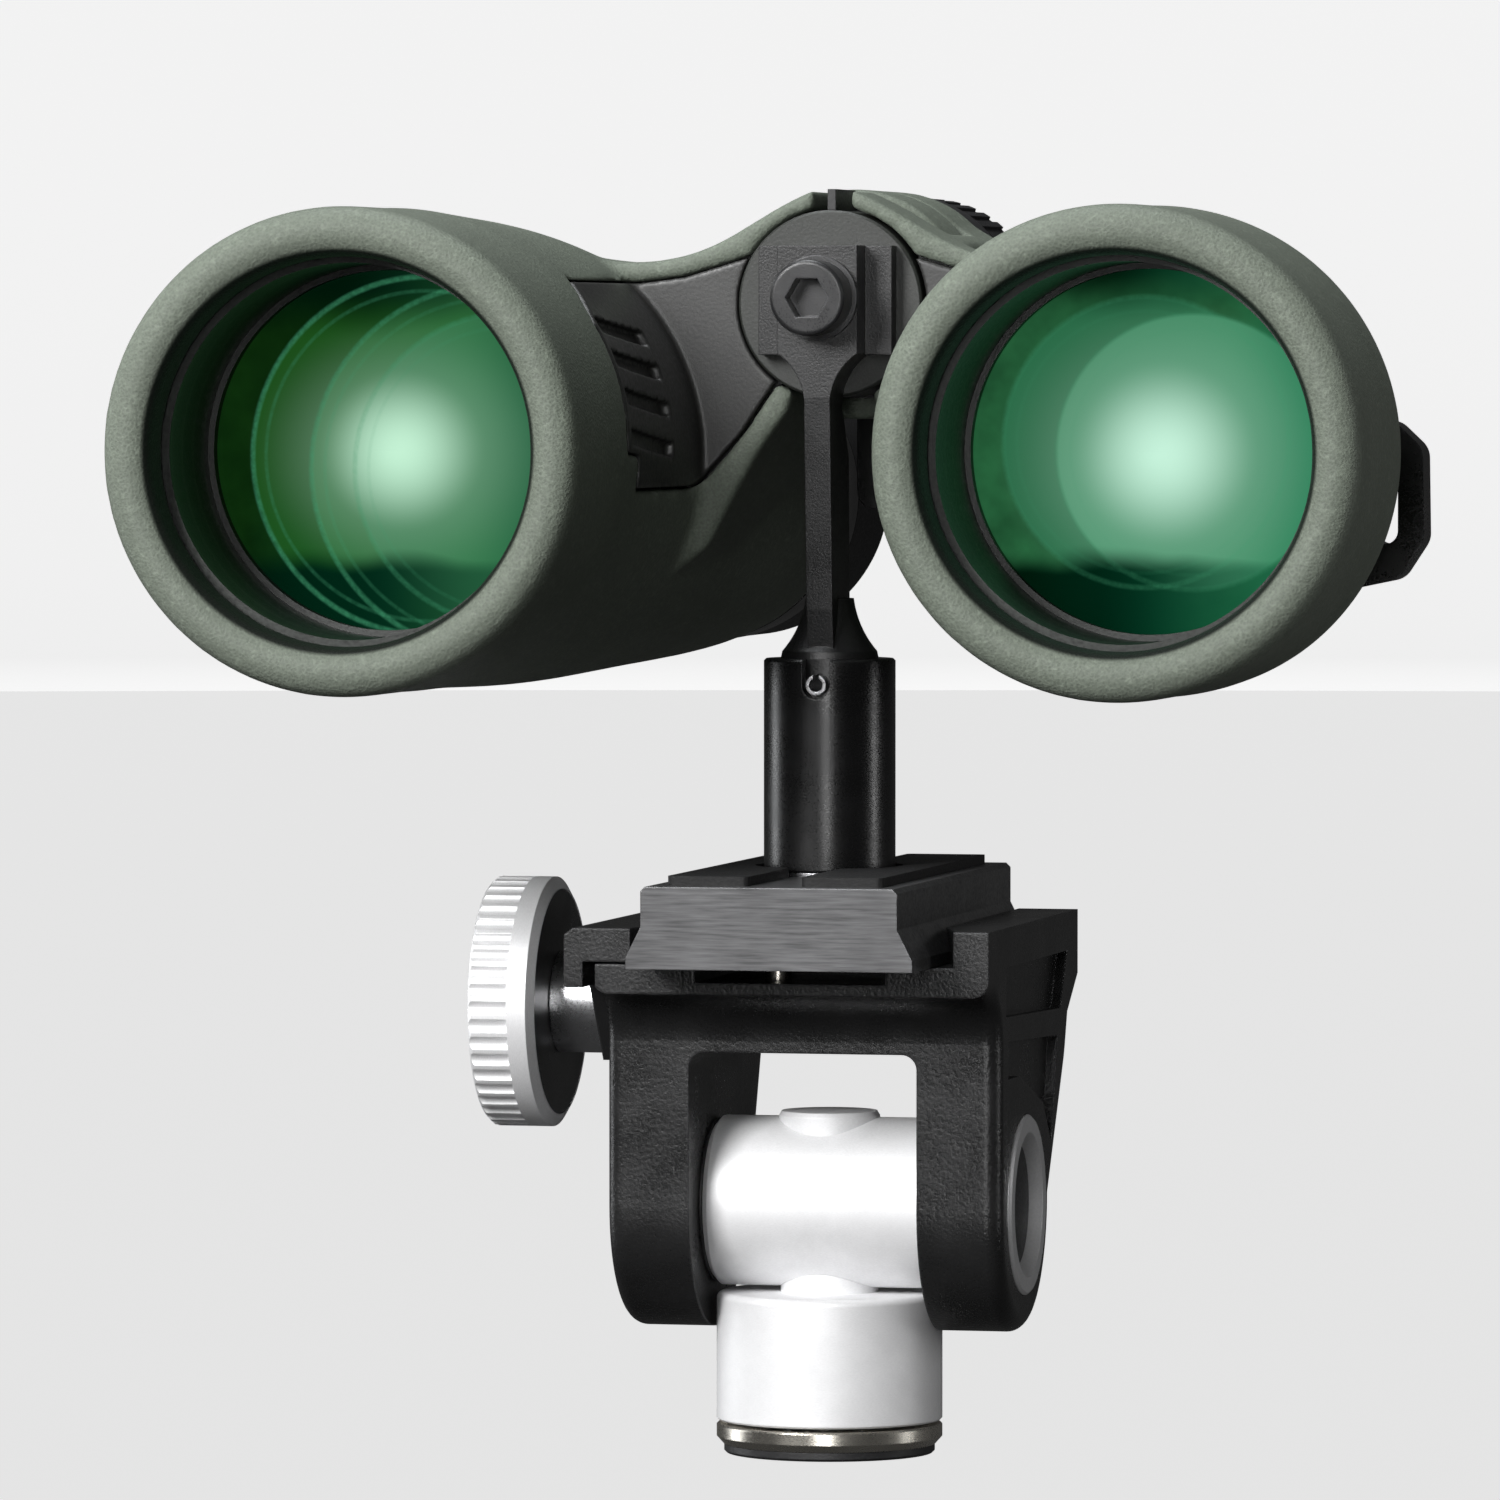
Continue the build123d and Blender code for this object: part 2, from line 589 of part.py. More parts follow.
# =====================================================================  stem adapter
with BuildPart() as adapter_stem:
    with BuildSketch(Plane.XY.offset(POST_FLOOR + 0.05)):
        Circle(SPIGOT_R)
    extrude(amount=POST_TOP - POST_FLOOR)
    # round shoulder, necking down to the flat bar
    with BuildSketch(Plane.XZ):
        with BuildLine():
            Line((0, POST_TOP), (SPIGOT_R, POST_TOP))
            Line((SPIGOT_R, POST_TOP), (6.3, 106.4))
            ThreePointArc((6.3, 106.4), (4.35, 109.4), (3.2, 113.4))
            Line((3.2, 113.4), (0, 113.4))
            Line((0, 113.4), (0, POST_TOP))
        make_face()
    revolve(axis=Axis.Z)
    with BuildSketch(Plane.XZ.offset(9.0)) as front_view:
        with BuildLine():
            Polyline((-STEM_HALF, 105.0), (STEM_HALF, 105.0), (STEM_HALF, 138.0))
            ThreePointArc((STEM_HALF, 138.0), (2.9, 143.2), (BLOCK_HALF, HEAD_LOW + 0.2))
            Polyline((BLOCK_HALF, HEAD_LOW + 0.2), (BLOCK_HALF, HEAD_HIGH), (-BLOCK_HALF, HEAD_HIGH),
                     (-BLOCK_HALF, HEAD_LOW + 0.2))
            ThreePointArc((-BLOCK_HALF, HEAD_LOW + 0.2), (-2.9, 143.2), (-STEM_HALF, 138.0))
            Line((-STEM_HALF, 138.0), (-STEM_HALF, 105.0))
        make_face()
    bar = extrude(amount=-16.0, mode=Mode.PRIVATE)
    with BuildSketch(Plane.YZ.offset(-12.0)) as side_view:
        with BuildLine():
            Polyline((-5.4, 105.0), (-6.4, 112.0), (BLOCK_FRONT, 140.0), (BLOCK_FRONT, HEAD_HIGH),
                     (-0.05, HEAD_HIGH), (-0.05, 138.5), (3.8, 132.0), (4.4, 112.0), (5.0, 105.0),
                     close=True)
        make_face()
    slab = extrude(amount=24.0, mode=Mode.PRIVATE)
    add(bar.intersect(slab))
    with BuildSketch(Plane.XZ.offset(-SADDLE_FRONT)):
        with Locations((0, (HEAD_LOW + HEAD_HIGH) / 2)):
            Rectangle(2 * SADDLE_HALF, HEAD_HIGH - HEAD_LOW)
    extrude(amount=-2.95)
    with BuildSketch(Plane.XZ.offset(9.0)):
        with Locations((0, HEAD_SCREW_Z)):
            Circle(3.1)
    extrude(amount=-12.0, mode=Mode.SUBTRACT)
    with BuildSketch(Plane.XZ.offset(9.0)):
        with Locations((0, PIN_Z)):
            Circle(PIN_R)
    extrude(amount=-18.0, mode=Mode.SUBTRACT)
save(adapter_stem, "adapter_stem")

with BuildPart() as roll_pin:
    with BuildSketch(across(-8.6)):
        with Locations((0, PIN_Z)):
            Circle(PIN_R)
            Circle(0.9, mode=Mode.SUBTRACT)
            with Locations((0, 1.1)):
                Rectangle(0.8, 1.4, mode=Mode.SUBTRACT)
    extrude(amount=-17.2)
save(roll_pin, "roll_pin")

with BuildPart() as screw_washer:
    with BuildSketch(across(-9.0)):
        with Locations((0, HEAD_SCREW_Z)):
            Circle(5.6)
            Circle(3.1, mode=Mode.SUBTRACT)
    extrude(amount=-1.0)
save(screw_washer, "screw_washer")

with BuildPart() as cap_screw:
    with BuildSketch(across(-14.4)):
        with Locations((0, HEAD_SCREW_Z)):
            Circle(5.0)
    extrude(amount=-5.4)
    fillet(cap_screw.edges().filter_by(GeomType.CIRCLE).sort_by(Axis.Y)[0], radius=0.6)
    with BuildSketch(across(-14.4)):
        with Locations((0, HEAD_SCREW_Z)):
            RegularPolygon(2.9, 6)
    extrude(amount=-3.0, mode=Mode.SUBTRACT)
    with BuildSketch(across(-9.1)):
        with Locations((0, HEAD_SCREW_Z)):
            Circle(3.0)
    extrude(amount=-17.0)
save(cap_screw, "cap_screw")

# =====================================================================  hinge core and focus
with BuildPart() as hinge_cap:
    with BuildSketch(across(0.0)):
        with Locations((0, HINGE_Z)):
            Circle(HINGE_CAP_R)
    extrude(amount=-13.8)
    chamfer(hinge_cap.edges().filter_by(GeomType.CIRCLE).sort_by(Axis.Y)[0], length=0.3)
    with BuildSketch(across(0.0)):
        with Locations((0, HEAD_SCREW_Z)):
            Circle(3.02)
    extrude(amount=-9.0, mode=Mode.SUBTRACT)
    with BuildSketch(across(13.8)):
        with Locations((0, HINGE_Z)):
            Circle(SHAFT_R + 0.02)
    extrude(amount=3.8, mode=Mode.SUBTRACT)
save(hinge_cap, "hinge_cap")

with BuildPart() as hinge_filler:
    with BuildSketch(across(WEB_FRONT + 0.1)):
        with Locations((0, HINGE_Z)):
            Circle(KNUCKLE_R - 0.2)
            Circle(HINGE_CAP_R + 0.02, mode=Mode.SUBTRACT)
        with Locations((0, HINGE_Z + 20)):
            Rectangle(1.1, 40, mode=Mode.INTERSECT)
    extrude(amount=-12.5)
save(hinge_filler, "hinge_filler")

with BuildPart() as hinge_shaft:
    with BuildSketch(across(10.1)):
        with Locations((0, HINGE_Z)):
            Circle(SHAFT_R)
    extrude(amount=-59.9)
    with BuildSketch(across(70.0)):
        with Locations((0, HINGE_Z)):
            Circle(3.0)
    extrude(amount=48.0, mode=Mode.SUBTRACT)
save(hinge_shaft, "hinge_shaft")

with BuildPart() as focus_housing:
    with BuildSketch(across(43.2)):
        with Locations((0, HINGE_Z)):
            Circle(15.0)
            Circle(SHAFT_R + 0.02, mode=Mode.SUBTRACT)
    extrude(amount=-6.8)
    chamfer(focus_housing.edges().filter_by(GeomType.CIRCLE).sort_by(Axis.Y)[0], length=0.4)
    # keel below the housing, between the barrels
    with BuildSketch(across(43.8)):
        with Locations((0, (KEEL_BOTTOM + HINGE_Z - 8) / 2)):
            RectangleRounded(2 * KEEL_HALF, HINGE_Z - 8 - KEEL_BOTTOM, 2.4)
    extrude(amount=-5.6)
    with BuildSketch(across(68.4)):
        with Locations((0, HINGE_Z)):
            Circle(11.5)
            Circle(SHAFT_R + 0.02, mode=Mode.SUBTRACT)
    extrude(amount=-1.6)
    with BuildSketch(across(70.0)):
        with Locations((0, HINGE_Z)):
            Circle(11.5)
    extrude(amount=-2.2, taper=14)
save(focus_housing, "focus_housing")

with BuildPart() as focus_wheel:
    with BuildSketch(across(WHEEL_FRONT)):
        with Locations((0, HINGE_Z)):
            Circle(WHEEL_R - 2.2)
            Circle(SHAFT_R + 0.05, mode=Mode.SUBTRACT)
    extrude(amount=WHEEL_FRONT - WHEEL_BACK)
    chamfer(focus_wheel.edges().filter_by(GeomType.CIRCLE).group_by(SortBy.RADIUS)[-1], length=0.5)
save(focus_wheel, "focus_wheel")

with BuildPart() as focus_grip:
    with BuildSketch(across(WHEEL_FRONT + 1.0)):
        with Locations((0, HINGE_Z)):
            Circle(WHEEL_R)
            Circle(WHEEL_R - 2.18, mode=Mode.SUBTRACT)
    extrude(amount=WHEEL_FRONT + 2.0 - WHEEL_BACK)
    chamfer(focus_grip.edges().filter_by(GeomType.CIRCLE).group_by(SortBy.RADIUS)[-1], length=0.7)
    with BuildSketch(across(WHEEL_FRONT)):
        with Locations((0, HINGE_Z)):
            with PolarLocations(WHEEL_R + 0.35, 40):
                Rectangle(1.6, 1.2)
    extrude(amount=WHEEL_FRONT - WHEEL_BACK, mode=Mode.SUBTRACT)
save(focus_grip, "focus_grip")

with BuildPart() as focus_rod:
    with BuildSketch(across(64.0)):
        with Locations((0, HINGE_Z)):
            Circle(2.95)
    extrude(amount=34.0)
save(focus_rod, "focus_rod")


# =====================================================================  barrels
def body_loft(side, shrink, front, back):
    """Round front tube and the smooth body behind it, drawn in by the given amount all round."""
    with BuildPart() as body:
        for y, x, z, half_w, half_h in SECTIONS:
            with BuildSketch(across(y)):
                with Locations((side * x, z)):
                    Ellipse(half_w - shrink, half_h - shrink)
        loft()
        if back < BODY_BACK:
            with BuildSketch(across(back)):
                with Locations((side * EYE_X, EYE_Z)):
                    Rectangle(60.0, 60.0)
            extrude(amount=-10.0, mode=Mode.SUBTRACT)
        with BuildSketch(across(front)):
            with Locations((side * OBJECTIVE_X, OBJECTIVE_Z)):
                Circle(LIP_R - shrink)
        extrude(amount=front - FRONT_TUBE_BACK)
    return body.part


def web_face(side, shrink):
    """Outline of the arm between a barrel and the hinge, drawn in by the given amount."""
    top = [(44.0, 160.4), (36.0, 158.9), (28.5, 157.95), (17.6, 159.6), (8.2, 164.7), (2.4, 167.5)]
    low = [(6.0, HINGE_Z - 14.2), (9.5, 133.5), (13.0, 127.5), (17.0, 120.0), (26.0, 113.0)]
    with BuildSketch(mode=Mode.PRIVATE) as face:
        with BuildLine():
            Spline(*[(side * x, z - shrink) for x, z in top])
            Line((side * 2.4, 167.5 - shrink), (side * 2.4, HINGE_Z))
            Polyline((side * 2.4, HINGE_Z),
                     *[(side * (x + 0.9 * shrink), z + 0.5 * shrink) for x, z in low],
                     (side * 44.0, 113.0), (side * 44.0, 160.4 - shrink))
        make_face()
    return face.sketch


def web(side, shrink):
    """Arm from barrel to hinge: a slab whose top falls away towards the eyepiece."""
    front = WEB_FRONT + shrink
    with BuildPart() as arm:
        with BuildSketch(across(front)):
            add(web_face(side, shrink))
        extrude(amount=front + shrink - RIGHT_KNUCKLE[1])
        with BuildSketch(Plane.YZ.offset(side * 16.0)):
            with BuildLine():
                Polyline((8.0, 160.8 - shrink), (RIGHT_KNUCKLE[1] + 1, 150.4 - shrink),
                         (RIGHT_KNUCKLE[1] + 1, 175.0), (8.0, 175.0), close=True)
            make_face()
        extrude(amount=side * 34.0, mode=Mode.SUBTRACT)
    return arm.part


def knuckle_cuts(side):
    """Clearance round the hinge: the other barrel's knuckle, and the core in front of both."""
    other = RIGHT_KNUCKLE if side < 0 else LEFT_KNUCKLE
    with BuildPart() as cuts:
        with BuildSketch(across(WEB_FRONT - 3.0)):
            with Locations((0, HINGE_Z)):
                Circle(CORE_R)
        extrude(amount=WEB_FRONT - 3.0 - LEFT_KNUCKLE[0])
        with BuildSketch(across(other[0] - 0.4)):
            with Locations((0, HINGE_Z)):
                Circle(KNUCKLE_R + 0.4)
        extrude(amount=other[0] - other[1] - 0.8)
    return cuts.part


def panel_region(side, grow):
    """Space of the inlay panel: the flank towards the hinge and the arm's front face."""
    with BuildPart() as region:
        with BuildSketch(across(-45.0)):
            with BuildLine():
                Polyline((side * 4.0, 160.6 + grow), (side * 13.3, 157.9 + grow), (side * 20.0, 155.9 + grow),
                         (side * 26.0, 155.1 + grow), (side * 40.0, 155.1 + grow),
                         (side * 40.0, 128.2 - grow), (side * (18.6 - grow), 128.2 - grow),
                         (side * (12.4 - grow), 135.2 - grow), (side * (4.0 - grow), 147.6 - grow),
                         close=True)
            make_face()
        extrude(amount=-51.0)
        with BuildSketch(Plane.YZ):
            with BuildLine():
                Polyline((7.0, 165.0), (-27.5 - grow, 165.0), (-27.5 - grow, 155.2), (-33.0 - grow, 149.5),
                         (-33.5 - grow, 133.0), (-26.5 - grow, 132.6), (-26.0 - grow, 120.0), (7.0, 120.0),
                         close=True)
            make_face()
        extrude(amount=side * 50.0, mode=Mode.INTERSECT)
    return region.part


def strap_lug(side):
    """Closed loop for the neck strap on a barrel's outer flank."""
    with BuildPart() as lug:
        with BuildSketch(across(41.0)) as loop:
            with BuildLine():
                Polyline((side * 60.0, 137.6), (side * 69.0, 136.6), (side * 72.8, 133.0),
                         (side * 73.0, 120.6), (side * 69.6, 115.4), (side * 60.0, 113.4), close=True)
            make_face()
            fillet(loop.vertices().sort_by(lambda v: -abs(v.X))[:4], radius=3.0)
            with Locations((side * 67.6, 124.6)):
                SlotOverall(9.0, 3.6, rotation=90, mode=Mode.SUBTRACT)
        extrude(amount=-6.0)
    return lug.part


def barrel_pieces(side, name):
    """Housing, armour and inlay panel of one barrel."""
    own = LEFT_KNUCKLE if side < 0 else RIGHT_KNUCKLE
    cuts = knuckle_cuts(side)
    inner_body = body_loft(side, ARMOUR_T + SKIN_GAP, BODY_FRONT, BODY_BACK - 0.5)
    hollow = body_loft(side, ARMOUR_T + SKIN_GAP + HOUSING_T, BODY_FRONT - 1, BODY_BACK)
    outer_body = body_loft(side, 0.0, BODY_FRONT, BODY_BACK)

    with BuildPart() as housing:
        add(inner_body)
        add(web(side, ARMOUR_T))
        with BuildSketch(across(own[0] + 0.2)):
            with Locations((0, HINGE_Z)):
                Circle(KNUCKLE_R - ARMOUR_T)
        extrude(amount=own[0] + 0.4 - own[1])
        add(strap_lug(side))
        add(hollow, mode=Mode.SUBTRACT)
        add(cuts, mode=Mode.SUBTRACT)
        with BuildSketch(across(-5.0)):
            with Locations((0, HINGE_Z)):
                Circle(SHAFT_R + 0.05)
        extrude(amount=-60.0, mode=Mode.SUBTRACT)
    save(housing, f"housing_{name}")

    with BuildPart() as armour:
        add(outer_body)
        add(web(side, 0.0))
        with BuildSketch(across(own[0])):
            with Locations((0, HINGE_Z)):
                Circle(KNUCKLE_R)
        extrude(amount=own[0] - own[1])
        # rounded lip round the objective
        with BuildSketch(Plane.XY.offset(OBJECTIVE_Z)):
            with BuildLine():
                Line((side * (OBJECTIVE_X + MOUTH_R), BODY_FRONT),
                     (side * (OBJECTIVE_X + MOUTH_R), LIP_FRONT + LIP_ROUND))
                ThreePointArc((side * (OBJECTIVE_X + MOUTH_R), LIP_FRONT + LIP_ROUND),
                              (side * (OBJECTIVE_X + MOUTH_R + LIP_ROUND), LIP_FRONT),
                              (side * (OBJECTIVE_X + LIP_R), LIP_FRONT + LIP_ROUND))
                Polyline((side * (OBJECTIVE_X + LIP_R), LIP_FRONT + LIP_ROUND),
                         (side * (OBJECTIVE_X + LIP_R), BODY_FRONT),
                         (side * (OBJECTIVE_X + MOUTH_R), BODY_FRONT))
            make_face()
        revolve(axis=Axis((side * OBJECTIVE_X, 0, OBJECTIVE_Z), (0, 1, 0)))
        add(body_loft(side, ARMOUR_T, BODY_FRONT, BODY_BACK), mode=Mode.SUBTRACT)
        add(cuts, mode=Mode.SUBTRACT)
        add(housing.part, mode=Mode.SUBTRACT)
        with BuildSketch(across(-5.0)):
            with Locations((0, HINGE_Z)):
                Circle(SHAFT_R + 0.05)
        extrude(amount=-60.0, mode=Mode.SUBTRACT)
    with BuildPart() as slots:
        with BuildSketch(Plane.YZ):
            for slot_z in SLOT_HEIGHTS:
                with Locations((SLOT_Y, slot_z)):
                    Rectangle(SLOT_LENGTH, SLOT_HEIGHT, rotation=-5.5)
        extrude(amount=side * 40.0)
        add(body_loft(side, SLOT_DEPTH, BODY_FRONT, BODY_BACK), mode=Mode.SUBTRACT)
    with BuildPart() as inlay:
        add(armour.part)
        add(panel_region(side, 0.0), mode=Mode.INTERSECT)
        add(slots.part, mode=Mode.SUBTRACT)
    save(inlay, f"inlay_{name}")
    with BuildPart() as skin:
        add(armour.part)
        add(panel_region(side, 0.2), mode=Mode.SUBTRACT)
    save(skin, f"armour_{name}")


def ring(y, depth, outer, inner, place):
    """Plain ring along +Y from the given y, round the axis at place."""
    with BuildPart() as band:
        with BuildSketch(across(y)):
            with Locations(place):
                Circle(outer)
                Circle(inner, mode=Mode.SUBTRACT)
        extrude(amount=-depth)
    return band.part


def half_rise(edge_r, rise):
    """Height of a spherical cap half way out to its edge, measured from the edge's plane."""
    radius = (edge_r ** 2 + rise ** 2) / (2 * rise)
    return rise - radius + (radius ** 2 - edge_r ** 2 / 4) ** 0.5 * (1 if radius > 0 else -1)


def lens(x, z, edge_r, front, back, front_rise, back_rise):
    """Round lens on the axis (x, z): edge from front to back, faces rising outwards by the given sags."""
    with BuildPart() as glass:
        with BuildSketch(Plane.XY.offset(z)):
            with BuildLine():
                Line((x, front - front_rise), (x, back + back_rise))
                ThreePointArc((x, back + back_rise), (x + edge_r / 2, back + half_rise(edge_r, back_rise)),
                              (x + edge_r, back))
                Line((x + edge_r, back), (x + edge_r, front))
                ThreePointArc((x + edge_r, front),
                              (x + edge_r / 2, front - half_rise(edge_r, front_rise)),
                              (x, front - front_rise))
            make_face()
        revolve(axis=Axis((x, 0, z), (0, 1, 0)))
    return glass.part


def optics(side, name):
    """Lenses, cells and prisms of one barrel."""
    x, z = side * OBJECTIVE_X, OBJECTIVE_Z
    with BuildPart() as objective_cell:
        add(ring(CELL_FRONT, LENS_SEAT - CELL_FRONT, CELL_R, CELL_MOUTH_R, (x, z)))
        add(ring(CELL_FRONT, 2.4, 26.8, CELL_MOUTH_R, (x, z)))
        add(ring(LENS_SEAT, 1.6, CELL_R, LENS_R - 1.4, (x, z)))
        add(ring(LENS_SEAT + 1.6, CELL_BACK - LENS_SEAT - 1.6, CELL_R, LENS_R + 0.05, (x, z)))
        add(ring(CELL_BACK - 0.6, 0.6, CELL_R, LENS_R - 1.2, (x, z)))
    save(objective_cell, f"objective_cell_{name}")

    with BuildPart() as objective_lens:
        add(lens(x, z, LENS_R, LENS_FRONT, -32.4, 3.0, 1.5))
        add(lens(x, z, LENS_R, -32.1, -28.7, -1.5, -0.2))
    save(objective_lens, f"objective_lens_{name}")

    with BuildPart() as focus_lens:
        add(lens(side * 48.0, 132.4, 17.0, -9.0, -5.0, -1.0, 1.2))
    save(focus_lens, f"focus_lens_{name}")

    with BuildPart() as prisms:
        with BuildSketch(Plane.YZ.offset(side * 43.4 - 13.0)):
            Polygon((14.0, 117.2), (31.0, 117.2), (31.0, 143.2), (22.0, 143.2), (14.0, 135.2), align=None)
        extrude(amount=26.0)
        with BuildSketch(Plane.YZ.offset(side * 39.8 - 12.0)):
            Polygon((31.4, 116.5), (48.4, 116.5), (48.4, 133.0), (41.0, 140.5), (31.4, 140.5), align=None)
        extrude(amount=24.0)
    save(prisms, f"prisms_{name}")

    eye = (side * EYE_X, EYE_Z)
    collar = COLLAR_BACK if side < 0 else DIOPTER_FRONT
    with BuildPart() as eyepiece_tube:
        add(ring(60.0, 16.0, 15.2, 14.0, eye))
        add(ring(BODY_BACK, 4.0, 15.2, 14.0, eye))
        add(ring(BODY_BACK, collar - BODY_BACK, 20.5, 14.0, eye))
        add(ring(collar, TUBE_BACK - collar, TUBE_R, 14.0, eye))
        add(ring(TUBE_BACK - 0.8, 0.8, TUBE_R, 12.2, eye))
    save(eyepiece_tube, f"eyepiece_tube_{name}")

    with BuildPart() as eye_lenses:
        add(lens(side * EYE_X, EYE_Z, 13.9, 64.0, 67.5, -0.8, -0.8))
        add(lens(side * EYE_X, EYE_Z, 13.9, 78.0, 82.0, 1.6, 1.6))
        add(lens(side * EYE_X, EYE_Z, 13.9, 93.0, 99.1, 1.5, -1.2))
    save(eye_lenses, f"eye_lenses_{name}")

    with BuildPart() as eyecup_slider:
        add(ring(84.5, 6.0, SLIDER_R, TUBE_R + 0.06, eye))
    save(eyecup_slider, f"eyecup_slider_{name}")

    with BuildPart() as eyecup:
        add(ring(COLLAR_BACK + 0.4, EYECUP_BACK - COLLAR_BACK - 0.4, EYECUP_R, SLIDER_R + 0.06, eye))
        chamfer(eyecup.faces().sort_by(Axis.Y)[0].edges(), length=0.4)
        fillet(eyecup.edges().filter_by(GeomType.CIRCLE).group_by(SortBy.RADIUS)[-1].sort_by(Axis.Y)[-1],
               radius=1.8)
        add(ring(COLLAR_BACK + 1.2, 1.4, SLIDER_R + 0.4, TUBE_R + 0.3, eye))
        add(ring(TUBE_BACK + 0.6, 2.2, SLIDER_R + 0.4, 12.6, eye))
    save(eyecup, f"eyecup_{name}")


for side, name in ((-1, "left"), (1, "right")):
    barrel_pieces(side, name)
    optics(side, name)

with BuildPart() as diopter_ring:
    add(ring(DIOPTER_FRONT + 0.15, COLLAR_BACK - DIOPTER_FRONT - 0.15, 20.5, TUBE_R + 0.06,
             (EYE_X, EYE_Z)))
    with BuildSketch(across(DIOPTER_FRONT + 0.8)):
        with Locations((EYE_X, EYE_Z)):
            with PolarLocations(20.9, 60):
                Rectangle(1.4, 0.9)
    extrude(amount=-COLLAR_BACK + DIOPTER_FRONT + 1.6, mode=Mode.SUBTRACT)
save(diopter_ring, "diopter_ring")
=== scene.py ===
"""Looks for the tripod-mounted binoculars: materials, softened armour, studio and camera."""
import math

import bmesh
import bpy
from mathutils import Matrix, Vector


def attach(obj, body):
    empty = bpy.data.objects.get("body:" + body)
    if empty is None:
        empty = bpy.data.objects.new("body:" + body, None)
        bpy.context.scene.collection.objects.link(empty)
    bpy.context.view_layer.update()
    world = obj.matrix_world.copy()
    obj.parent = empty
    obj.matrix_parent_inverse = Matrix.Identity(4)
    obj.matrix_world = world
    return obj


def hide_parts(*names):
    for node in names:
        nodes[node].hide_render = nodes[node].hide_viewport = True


MM = 0.001
SIDES = (("left", -1), ("right", 1))
LENS_X, LENS_Z, LENS_R = 0.05035, 0.1332, 0.0248
MOUTH_OUTER, MOUTH_INNER = 0.0262, 0.0256
MOUTH_BACK, MOUTH_FRONT = -0.050, -0.054
# colour of the objective glass in painted shade
GLASS_IN_SHADE = (0.0004, 0.007, 0.0022)

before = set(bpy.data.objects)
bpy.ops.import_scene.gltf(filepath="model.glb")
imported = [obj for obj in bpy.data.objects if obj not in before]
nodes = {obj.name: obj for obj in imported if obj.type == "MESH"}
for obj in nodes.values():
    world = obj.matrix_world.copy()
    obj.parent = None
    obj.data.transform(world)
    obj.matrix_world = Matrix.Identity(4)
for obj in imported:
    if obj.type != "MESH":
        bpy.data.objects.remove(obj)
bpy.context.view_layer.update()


# ---------------------------------------------------------------- material helpers
class Shader:
    """A node material built step by step, working in the object's own coordinates."""

    def __init__(self, name):
        self.mat = bpy.data.materials.new(name)
        self.mat.use_nodes = True
        self.tree = self.mat.node_tree
        self.bsdf = self.tree.nodes["Principled BSDF"]
        coord = self.new("ShaderNodeTexCoord")
        self.place = coord.outputs["Object"]

    def new(self, kind, **settings):
        node = self.tree.nodes.new(kind)
        for key, value in settings.items():
            setattr(node, key, value)
        return node

    def join(self, source, target):
        self.tree.links.new(source, target)

    def math(self, operation, a, b=0.0, clamp=False):
        node = self.new("ShaderNodeMath", operation=operation, use_clamp=clamp)
        for socket, value in zip(node.inputs, (a, b)):
            if isinstance(value, (int, float)):
                socket.default_value = value
            else:
                self.join(value, socket)
        return node.outputs[0]

    def noise(self, size, detail=3.0, stretch=None, rough=0.55):
        """Noise with features about `size` metres across; stretch scales the axes."""
        node = self.new("ShaderNodeTexNoise")
        node.inputs["Scale"].default_value = 1.0 / size
        node.inputs["Detail"].default_value = detail
        node.inputs["Roughness"].default_value = rough
        source = self.place
        if stretch:
            mapping = self.new("ShaderNodeMapping")
            mapping.inputs["Scale"].default_value = stretch
            self.join(source, mapping.inputs["Vector"])
            source = mapping.outputs["Vector"]
        self.join(source, node.inputs["Vector"])
        return node.outputs["Fac"]

    def cells(self, size):
        node = self.new("ShaderNodeTexVoronoi", feature="F1")
        node.inputs["Scale"].default_value = 1.0 / size
        self.join(self.place, node.inputs["Vector"])
        return node.outputs["Distance"]

    def spread(self, value, low, high, to_low, to_high, smooth=False):
        node = self.new("ShaderNodeMapRange")
        if smooth:
            node.interpolation_type = "SMOOTHSTEP"
        self.join(value, node.inputs["Value"])
        limits = {"From Min": low, "From Max": high, "To Min": to_low, "To Max": to_high}
        for key, number in limits.items():
            node.inputs[key].default_value = number
        return node.outputs["Result"]

    def mix(self, factor, a, b, blend="MIX"):
        node = self.new("ShaderNodeMix", data_type="RGBA", blend_type=blend)
        if isinstance(factor, (int, float)):
            node.inputs[0].default_value = factor
        else:
            self.join(factor, node.inputs[0])
        for socket, value in ((node.inputs[6], a), (node.inputs[7], b)):
            if isinstance(value, tuple):
                socket.default_value = (*value, 1.0)
            else:
                self.join(value, socket)
        return node.outputs[2]

    def edges(self, radius):
        """Mask that is 1 along sharp edges, from a rounded normal."""
        bevel = self.new("ShaderNodeBevel", samples=4)
        bevel.inputs["Radius"].default_value = radius
        geometry = self.new("ShaderNodeNewGeometry")
        dot = self.new("ShaderNodeVectorMath", operation="DOT_PRODUCT")
        self.join(bevel.outputs["Normal"], dot.inputs[0])
        self.join(geometry.outputs["Normal"], dot.inputs[1])
        return self.spread(dot.outputs["Value"], 0.995, 0.80, 0.0, 1.0), bevel.outputs["Normal"]

    def bump(self, height, strength, distance, normal=None):
        node = self.new("ShaderNodeBump")
        node.inputs["Strength"].default_value = strength
        node.inputs["Distance"].default_value = distance
        self.join(height, node.inputs["Height"])
        if normal is not None:
            self.join(normal, node.inputs["Normal"])
        return node.outputs["Normal"]

    def finish(self, colour=None, roughness=None, normal=None):
        for key, value in (("Base Color", colour), ("Roughness", roughness), ("Normal", normal)):
            if value is not None:
                self.join(value, self.bsdf.inputs[key])
        return self.mat

    def set(self, **values):
        for key, value in values.items():
            self.bsdf.inputs[key.replace("_", " ")].default_value = value


def scaled(colour, factor):
    return tuple(min(1.0, c * factor) for c in colour)


